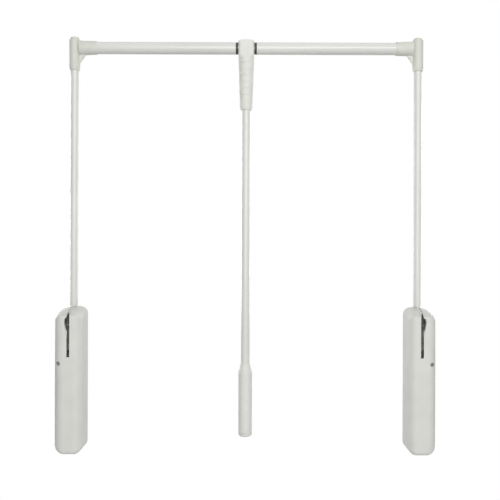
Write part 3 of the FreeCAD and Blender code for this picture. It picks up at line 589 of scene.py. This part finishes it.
# %% [markdown]
# ## Tools for Geometry Nodes
# Ribs, springs and screws repeat, so node trees draw them. A tree gets named inputs, ends with real
# geometry in its finish, and is run once on a mesh, so that a plain mesh comes out.

# %% Geometry tree tools
NUMBER, WHOLE, FINISH = "NodeSocketFloat", "NodeSocketInt", "NodeSocketMaterial"


def new_tree(name, inputs):
    """A geometry tree with named inputs; returns it with its input node's outputs."""
    tree = bpy.data.node_groups.new(name, "GeometryNodeTree")
    tree.interface.new_socket("Geometry", in_out="INPUT", socket_type="NodeSocketGeometry")
    for label, kind in inputs.items():
        tree.interface.new_socket(label, in_out="INPUT", socket_type=kind)
    tree.interface.new_socket("Geometry", in_out="OUTPUT", socket_type="NodeSocketGeometry")
    return tree, tree.nodes.new("NodeGroupInput").outputs


def close_tree(tree, geometry, material):
    """Ends a tree: instances become real and the finish is set."""
    real = add(tree, "GeometryNodeRealizeInstances", {"Geometry": geometry})
    coloured = add(tree, "GeometryNodeSetMaterial", {
        "Geometry": real.outputs[0], "Material": material})
    add(tree, "NodeGroupOutput", {0: coloured.outputs[0]})
    print(tree.name, "nodes:", len(tree.nodes))


def grow(tree, base_mesh, values):
    """Runs a tree on a mesh with the named values and returns the plain mesh that comes out."""
    holder = held("grown", base_mesh)
    modifier = holder.modifiers.new("grow", "NODES")
    modifier.node_group = tree
    for item in tree.interface.items_tree:
        if item.in_out == "INPUT" and item.name in values:
            modifier[item.identifier] = values[item.name]
    return settled(holder)


def along_z(tree, length):
    """A vector of the given length along Z."""
    return add(tree, "ShaderNodeCombineXYZ", {"Z": length}).outputs[0]


print("tree tools ready")

# %% [markdown]
# ## Finger ribs by Geometry Nodes
# The front of the handle carries a ladder of shallow ribs that thumb and fingers rest on. One rib
# is an arc swept with a flat round profile. A line of points down the handle repeats it, and each
# point's index shrinks the rib to the handle's taper.

# %% Rib tree
ARC_POINTS, OVAL_POINTS = 25, 20
rib_ladder, given = new_tree("rib_ladder", {
    "Count": WHOLE, "Pitch": NUMBER, "Rib Half Height": NUMBER, "Rib Depth": NUMBER,
    "Radius": NUMBER, "Shrink": NUMBER, "Half Angle": NUMBER, "Finish": FINISH})
tree = rib_ladder
arc = add(tree, "GeometryNodeCurveArc", {
    "Resolution": ARC_POINTS, "Radius": given["Radius"],
    "Start Angle": maths(tree, "SUBTRACT", -math.pi / 2, given["Half Angle"]),
    "Sweep Angle": maths(tree, "MULTIPLY", given["Half Angle"], 2.0)})
oval = add(tree, "GeometryNodeCurvePrimitiveCircle", {"Resolution": OVAL_POINTS, "Radius": 1.0})
oval_size = add(tree, "ShaderNodeCombineXYZ", {
    "X": given["Rib Depth"], "Y": given["Rib Half Height"], "Z": 1.0})
flat_oval = add(tree, "GeometryNodeTransform", {
    "Geometry": oval.outputs[0], "Scale": oval_size.outputs[0]})
rib = add(tree, "GeometryNodeCurveToMesh", {
    "Curve": arc.outputs[0], "Profile Curve": flat_oval.outputs[0], "Fill Caps": True})
points = add(tree, "GeometryNodeMeshLine", {
    "Count": given["Count"],
    "Offset": along_z(tree, maths(tree, "MULTIPLY", given["Pitch"], -1.0))})
index = add(tree, "GeometryNodeInputIndex").outputs[0]
size = maths(tree, "SUBTRACT", 1.0, maths(tree, "MULTIPLY", index, given["Shrink"]))
rib_size = add(tree, "ShaderNodeCombineXYZ", {"X": size, "Y": size, "Z": 1.0})
ladder = add(tree, "GeometryNodeInstanceOnPoints", {
    "Points": points.outputs[0], "Instance": rib.outputs[0], "Scale": rib_size.outputs[0]})
close_tree(tree, ladder.outputs[0], given["Finish"])

# %% [markdown]
# ## Ribs on the handle
# In the photograph the ladder starts a little below the rail and stands somewhat to the left, so it
# is turned about the handle's axis. A Boolean joins it to the front half.

# %% Ribs and front half
RIB_COUNT = 6
RIB_PITCH = 13.2
FIRST_RIB = 27.3
RIB_HALF_HEIGHT = 5.9
RIB_DEPTH = 2.4
RIB_PROUD = 1.2
RIB_HALF_ANGLE = math.radians(36)
RIB_TURN = math.radians(-12)

first_radius = stem_radius(HANDLE_DROP - FIRST_RIB)
taper = first_radius - stem_radius(HANDLE_DROP - FIRST_RIB - RIB_PITCH)
ribs = grow(rib_ladder, bpy.data.meshes.new("empty"), {
    "Count": RIB_COUNT, "Pitch": RIB_PITCH * MM, "Rib Half Height": RIB_HALF_HEIGHT * MM,
    "Rib Depth": RIB_DEPTH * MM, "Radius": (first_radius + RIB_PROUD - RIB_DEPTH) * MM,
    "Shrink": taper / first_radius, "Half Angle": RIB_HALF_ANGLE,
    "Finish": finishes["handle_plastic"]})
first_place = Matrix.Translation(Vector((0, ARM_DEPTH, RAIL_LEVEL - FIRST_RIB)) * MM)
ribs.transform(first_place @ Matrix.Rotation(RIB_TURN, 4, "Z"))
front_half = cut(front_half, ribs, "UNION")
hand_over("handle_front_half", front_half, "handle_plastic", "pull_rod", "handle_front")

# %% [markdown]
# ## The grip on the pull rod
# The grip is a turned-looking moulding: a short neck swells through a soft shoulder into a long,
# nearly straight body with a faint band at its top. A smooth step draws the shoulder, so the light
# runs over it without a crease.

# %% Grip
GRIP_TOP = RAIL_LEVEL - 652.0
GRIP_FOOT = GRIP_TOP - 150.0
BODY_RISE, SHOULDER, BAND = 8.1, 19.0, 13.0
BODY_RADIUS, BODY_SWELL, BAND_SWELL = 14.0, 0.1, 0.3
BAND_TURN = math.pi * 0.6
NECK_RADIUS, NECK_HEIGHT = 10.0, 1.0
ROD_HOLE, ROD_DEPTH = 9.05, 39.5
SHOULDER_STRAIGHT = 0.6
BODY_ROWS, BAND_ROWS, SHOULDER_ROWS = 12, 8, 16
# The rims: radius and height above the body's foot, and radius and depth below the neck's top
FOOT_RIM = ((0, 0.0), (13.6, 0.0), (13.9, 0.3))
NECK_RIM = ((9.9, 0.4), (9.6, 0.0), (ROD_HOLE, 0.0), (ROD_HOLE, ROD_DEPTH), (0, ROD_DEPTH))

body_low, body_high = GRIP_FOOT + BODY_RISE, GRIP_TOP - SHOULDER
profile = [(radius, body_low + height) for radius, height in FOOT_RIM]
for step in range(1, BODY_ROWS + 1):
    radius = BODY_RADIUS + BODY_SWELL * step / BODY_ROWS
    profile.append((radius, body_low + (body_high - BAND - body_low) * step / BODY_ROWS))
for step in range(1, BAND_ROWS + 1):
    share = step / BAND_ROWS
    radius = BODY_RADIUS + BODY_SWELL + BAND_SWELL * math.sin(BAND_TURN * share)
    profile.append((radius, body_high + BAND * (share - 1)))
band_top = profile[-1][0]
for step in range(1, SHOULDER_ROWS + 1):
    share = step / SHOULDER_ROWS
    straight = band_top + (NECK_RADIUS - band_top) * share
    soft = ease(band_top, NECK_RADIUS, share)
    radius = SHOULDER_STRAIGHT * straight + (1 - SHOULDER_STRAIGHT) * soft
    profile.append((radius, body_high + (SHOULDER - NECK_HEIGHT) * share))
profile += [(radius, GRIP_TOP - down) for radius, down in NECK_RIM]
hand_over("grip_body", lathe(profile), "grip_plastic", "pull_rod", "pull_grip")

# %% [markdown]
# ## The grip's cap
# A cap with a generous rounding closes the grip's foot. A fine gap parts it from the body.

# %% Grip cap
CAP_RADIUS, CAP_ROUND, CAP_ROWS = 13.95, 6.0, 9
# The cap's upper edge: radius, and height above the foot
CAP_EDGE = ((13.9, 7.6), (13.6, 7.9), (0, 7.9))

profile = [(0, GRIP_FOOT)]
for step in range(CAP_ROWS + 1):
    turn = math.pi / 2 * step / CAP_ROWS
    radius = CAP_RADIUS - CAP_ROUND + CAP_ROUND * math.sin(turn)
    profile.append((radius, GRIP_FOOT + CAP_ROUND * (1 - math.cos(turn))))
profile += [(radius, GRIP_FOOT + height) for radius, height in CAP_EDGE]
cap = lathe(profile)
hand_over("grip_foot_cap", cap, "grip_plastic", "pull_rod", "pull_grip_cap")

# %% [markdown]
# ## Trimming the corner fittings
# Each corner fitting takes the arm from below and the rail from the side, with a web between.
# In the photograph its upright runs unbroken past the wider socket, so a Boolean trims the socket
# back to the upright's flank. The web reaches further there than in the solid, so one is added.

# %% Socket and web
ARM_SIDE = 355.0
UPRIGHT_RADIUS, UPRIGHT_REACH = 11.1, 30.0
SOCKET_START, SOCKET_RADIUS = 10.2, 16.0
WEB_HALF = 3.0
# The web's outline: from the arm's axis inwards, and from the rail's axis down
WEB_OUTLINE = ((10.0, 14.0), (22.3, 14.0), (21.8, 15.5), (11.0, 31.0), (10.0, 31.0))


def trimmed(mesh, sign):
    """Takes the socket's root away round the upright; sign is -1 on the left, 1 on the right."""
    near, far = sorted((sign * (ARM_SIDE + SOCKET_RADIUS), sign * (ARM_SIDE - SOCKET_START)))
    sleeve = block((near, ARM_DEPTH - SOCKET_RADIUS, RAIL_LEVEL - SOCKET_RADIUS),
                   (far, ARM_DEPTH + SOCKET_RADIUS, RAIL_LEVEL + SOCKET_RADIUS))
    foot = (sign * ARM_SIDE, ARM_DEPTH, RAIL_LEVEL - UPRIGHT_REACH)
    upright = round_bar(UPRIGHT_RADIUS, foot, (0, 0, 1), 2 * UPRIGHT_REACH)
    return cut(mesh, cut(sleeve, upright))


def web(sign):
    """The web under the socket, as a flat piece of even thickness."""
    form = bmesh.new()
    rings = []
    for half in (-WEB_HALF, WEB_HALF):
        spots = [(sign * (ARM_SIDE - across), ARM_DEPTH + half, RAIL_LEVEL - down)
                 for across, down in WEB_OUTLINE]
        rings.append([form.verts.new(Vector(spot) * MM) for spot in spots])
        form.faces.new(rings[-1])
    front, rear = rings
    for first in range(len(WEB_OUTLINE)):
        second = (first + 1) % len(WEB_OUTLINE)
        form.faces.new((front[first], front[second], rear[second], rear[first]))
    bmesh.ops.recalc_face_normals(form, faces=form.faces)
    return as_mesh(form, "web")


print("web corners:", len(WEB_OUTLINE))

# %% [markdown]
# ## Softening the corner fittings
# On the real moulding all edges are soft. The trimmed copy gets an even skin by voxel remesh, and a
# few rounds of smoothing roll its edges and the web's root.

# %% Soften the corner fittings
VOXEL = 0.55
SMOOTH_SHARE, SMOOTH_ROUNDS = 0.5, 3
WELD = 1e-6


def softened(solid, sign):
    """A copy of a solid's mesh, trimmed, with its web, and with rolled edges."""
    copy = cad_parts[solid].data.copy()
    form = bmesh.new()
    form.from_mesh(copy)
    bmesh.ops.remove_doubles(form, verts=form.verts, dist=WELD)
    form.to_mesh(copy)
    form.free()
    holder = held("softening", cut(trimmed(copy, sign), web(sign), "UNION"))
    skin = holder.modifiers.new("even_skin", "REMESH")
    skin.mode = "VOXEL"
    skin.voxel_size = VOXEL * MM
    smooth = holder.modifiers.new("soft_edges", "SMOOTH")
    smooth.factor = SMOOTH_SHARE
    smooth.iterations = SMOOTH_ROUNDS
    return settled(holder)


SIDES = (("left", -1), ("right", 1))
for side, sign in SIDES:
    hand_over(f"{side}_corner_moulding", softened(f"{side}_corner_fitting", sign),
              "fitting_plastic", f"{side}_swing", f"{side}_corner_fitting")

# %% [markdown]
# ## Lift springs by Geometry Nodes
# Inside each housing a compression spring carries the load of the clothes. A real one is wound
# with a closed turn at either end, so that it stands square on its seat. A spiral gives the round,
# and the tree lifts its points: little through the end turns, evenly through the live turns.

# %% Spring tree
SPIRAL_STEPS, WIRE_SIDES = 36, 12
CLOSED_PITCH = 2.05
wound_spring, given = new_tree("wound_spring", {
    "Turns": NUMBER, "Coil Radius": NUMBER, "Wire Radius": NUMBER, "Height": NUMBER,
    "Finish": FINISH})
tree = wound_spring
turns, coil_radius, wire_radius = given["Turns"], given["Coil Radius"], given["Wire Radius"]
round_path = add(tree, "GeometryNodeCurveSpiral", {
    "Resolution": SPIRAL_STEPS, "Rotations": turns, "Start Radius": coil_radius,
    "End Radius": coil_radius, "Height": 0.0})
factor = add(tree, "GeometryNodeSplineParameter").outputs["Factor"]
along = maths(tree, "MULTIPLY", factor, turns)
closed_pitch = maths(tree, "MULTIPLY", wire_radius, CLOSED_PITCH)
end_height = maths(tree, "MULTIPLY", closed_pitch, 2.0)
live_height = maths(tree, "SUBTRACT", given["Height"], end_height)
live_turns = maths(tree, "SUBTRACT", turns, 2.0)
live_pitch = maths(tree, "DIVIDE", live_height, live_turns)


def rise_over(first, count, pitch):
    """How far the turns from the given one on have lifted a point."""
    past = maths(tree, "MAXIMUM", maths(tree, "SUBTRACT", along, first), 0.0)
    return maths(tree, "MULTIPLY", maths(tree, "MINIMUM", past, count), pitch)


low_rise = rise_over(0.0, 1.0, closed_pitch)
live_rise = rise_over(1.0, live_turns, live_pitch)
high_rise = rise_over(maths(tree, "SUBTRACT", turns, 1.0), 1.0, closed_pitch)
rise = maths(tree, "ADD", maths(tree, "ADD", low_rise, live_rise), high_rise)
wound = add(tree, "GeometryNodeSetPosition", {
    "Geometry": round_path.outputs[0], "Offset": along_z(tree, rise)})
section = add(tree, "GeometryNodeCurvePrimitiveCircle", {
    "Resolution": WIRE_SIDES, "Radius": wire_radius})
wire = add(tree, "GeometryNodeCurveToMesh", {
    "Curve": wound.outputs[0], "Profile Curve": section.outputs[0], "Fill Caps": True})
close_tree(tree, wire.outputs[0], given["Finish"])

# %% [markdown]
# ## Winding the springs
# Each spring fills the box of its solid. Its seat is at the top.

# %% Wind the springs
WIRE = 1.4
SPRING_TURNS = 13.0
for side, _ in SIDES:
    low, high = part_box(f"{side}_lift_spring")
    middle = (low + high) / 2
    coil = grow(wound_spring, bpy.data.meshes.new("empty"), {
        "Turns": SPRING_TURNS, "Coil Radius": (high.x - low.x) / 2 - WIRE * MM,
        "Wire Radius": WIRE * MM, "Height": high.z - low.z - 2 * WIRE * MM,
        "Finish": finishes["spring_wire"]})
    coil.transform(Matrix.Translation((middle.x, middle.y, low.z + WIRE * MM)))
    spring = hand_over(f"{side}_wound_spring", coil, "spring_wire",
                       f"{side}_housing", f"{side}_lift_spring")
    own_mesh(spring)

# %% [markdown]
# ## Screws by Geometry Nodes
# Screws join the shells, clamp the handle and lock each housing to its wall plate. One tree draws
# a screw from its sizes: a tapered head with a cross recess, and a shank with thread ridges. It is
# set on every point of the mesh that the tree is run on.

# %% Screw tree
HEAD_SIDES, SHANK_SIDES = 32, 20
HEAD_TAPER = 0.82
RECESS_LENGTH, RECESS_WIDTH, RECESS_HEIGHT = 1.15, 0.3, 1.3
CORE_SHARE, RIDGE_SHARE = 0.8, 0.6
screw_set, given = new_tree("screw_set", {
    "Head Radius": NUMBER, "Head Height": NUMBER, "Shank Radius": NUMBER, "Shank Length": NUMBER,
    "Thread Pitch": NUMBER, "Turn": "NodeSocketRotation", "Finish": FINISH})
tree = screw_set
head_radius, head_height = given["Head Radius"], given["Head Height"]
shank_length, thread_pitch = given["Shank Length"], given["Thread Pitch"]

head = add(tree, "GeometryNodeMeshCone", {
    "Vertices": HEAD_SIDES, "Side Segments": 1, "Depth": head_height,
    "Radius Bottom": head_radius, "Radius Top": maths(tree, "MULTIPLY", head_radius, HEAD_TAPER)})
bar_size = add(tree, "ShaderNodeCombineXYZ", {
    "X": maths(tree, "MULTIPLY", head_radius, RECESS_LENGTH),
    "Y": maths(tree, "MULTIPLY", head_radius, RECESS_WIDTH),
    "Z": maths(tree, "MULTIPLY", head_height, RECESS_HEIGHT)})
bar = add(tree, "GeometryNodeMeshCube", {"Size": bar_size.outputs[0]})
lift = along_z(tree, head_height)
recessed = head.outputs[0]
for turn in (0, math.pi / 2):
    tool = add(tree, "GeometryNodeTransform", {
        "Geometry": bar.outputs[0], "Translation": lift, "Rotation": (0, 0, turn)})
    recessed = add(tree, "GeometryNodeMeshBoolean", {
        "Mesh 1": recessed, "Mesh 2": tool.outputs[0]},
        operation="DIFFERENCE", solver="EXACT").outputs[0]

core_radius = maths(tree, "MULTIPLY", given["Shank Radius"], CORE_SHARE)
core = add(tree, "GeometryNodeMeshCylinder", {
    "Vertices": SHANK_SIDES, "Radius": core_radius, "Depth": shank_length})
shank = add(tree, "GeometryNodeTransform", {
    "Geometry": core.outputs[0],
    "Translation": along_z(tree, maths(tree, "MULTIPLY", shank_length, -0.5))})
ridge = add(tree, "GeometryNodeMeshCone", {
    "Vertices": SHANK_SIDES, "Depth": maths(tree, "MULTIPLY", thread_pitch, RIDGE_SHARE),
    "Radius Bottom": given["Shank Radius"], "Radius Top": core_radius})
ridge_count = maths(tree, "FLOOR", maths(tree, "DIVIDE", shank_length, thread_pitch), 0.0)
ridge_step = along_z(tree, maths(tree, "MULTIPLY", thread_pitch, -1.0))
ridge_points = add(tree, "GeometryNodeMeshLine", {
    "Count": ridge_count, "Start Location": ridge_step, "Offset": ridge_step})
thread = add(tree, "GeometryNodeInstanceOnPoints", {
    "Points": ridge_points.outputs[0], "Instance": ridge.outputs[0]})

screw = add(tree, "GeometryNodeJoinGeometry")
for part in (recessed, shank.outputs[0], thread.outputs[0]):
    tree.links.new(part, screw.inputs[0])
spots = add(tree, "GeometryNodeInstanceOnPoints", {
    "Points": given["Geometry"], "Instance": screw.outputs[0], "Rotation": given["Turn"]})
close_tree(tree, spots.outputs[0], given["Finish"])

# %% [markdown]
# ## Setting the screws
# The screws stand where the solids have their holes, with the heads turned outwards.

# %% Place the screws
OUTWARD = {"left": (-1, 0, 0), "right": (1, 0, 0), "front": (0, -1, 0), "rear": (0, 1, 0)}
THREAD_PITCH = 1.1
# Each screw: the head's radius and height, and the shank's radius and length, in mm
SIZE_NAMES = ("Head Radius", "Head Height", "Shank Radius", "Shank Length")
SHELL_SCREW = (3.2, 2.0, 1.6, 37.0)
LOCK_SCREW = (3.5, 2.5, 1.75, 13.5)
TUBE_SCREW = (1.95, 1.5, 1.95, 2.4)
CLAMP_SCREW = (3.2, 2.0, 1.6, 13.5)
WALL = 385.0
SHELL_SEAT = WALL - 8.0
SHELL_POSTS = ((-29.0, 16.0), (29.0, 16.0), (-29.0, 150.0), (29.0, 254.0))
LOCK_SIDE, LOCK_DEPTH, LOCK_LEVEL = WALL - 10.0, -31.5, 183.0
TUBE_SEAT, TUBE_LEVEL = ARM_DEPTH + 6.4, 320.8


def place_screws(name, solid, body, spots, outward, screw, plating="zinc_steel"):
    """Sets screws at the given points in mm, which are where the heads seat."""
    points = bpy.data.meshes.new("screw_spots")
    points.from_pydata([Vector(spot) * MM for spot in spots], [], [])
    values = {label: size * MM for label, size in zip(SIZE_NAMES, screw)}
    turn = Vector(OUTWARD[outward]).to_track_quat("Z", "Y").to_euler()
    mesh = grow(screw_set, points, {
        **values, "Thread Pitch": THREAD_PITCH * MM, "Turn": turn, "Finish": finishes[plating]})
    hand_over(name, mesh, plating, body, solid)


for side, sign in SIDES:
    posts = [(sign * SHELL_SEAT, depth, height) for depth, height in SHELL_POSTS]
    place_screws(f"{side}_shell_screws", f"{side}_cover_screws", f"{side}_housing",
                 posts, side, SHELL_SCREW)
    # The locking screw wears zinc darkened as painted shade for its recess
    place_screws(f"{side}_locking_screw", f"{side}_lock_screw", f"{side}_housing",
                 [(sign * LOCK_SIDE, LOCK_DEPTH, LOCK_LEVEL)], "front", LOCK_SCREW, "painted_shade_zinc")
    place_screws(f"{side}_tube_screw", f"{side}_arm_screw", f"{side}_swing",
                 [(sign * ARM_SIDE, TUBE_SEAT, TUBE_LEVEL)], "rear", TUBE_SCREW)
place_screws("handle_clamp_screws", "handle_screws", "pull_rod", clamp_spots, "rear", CLAMP_SCREW)
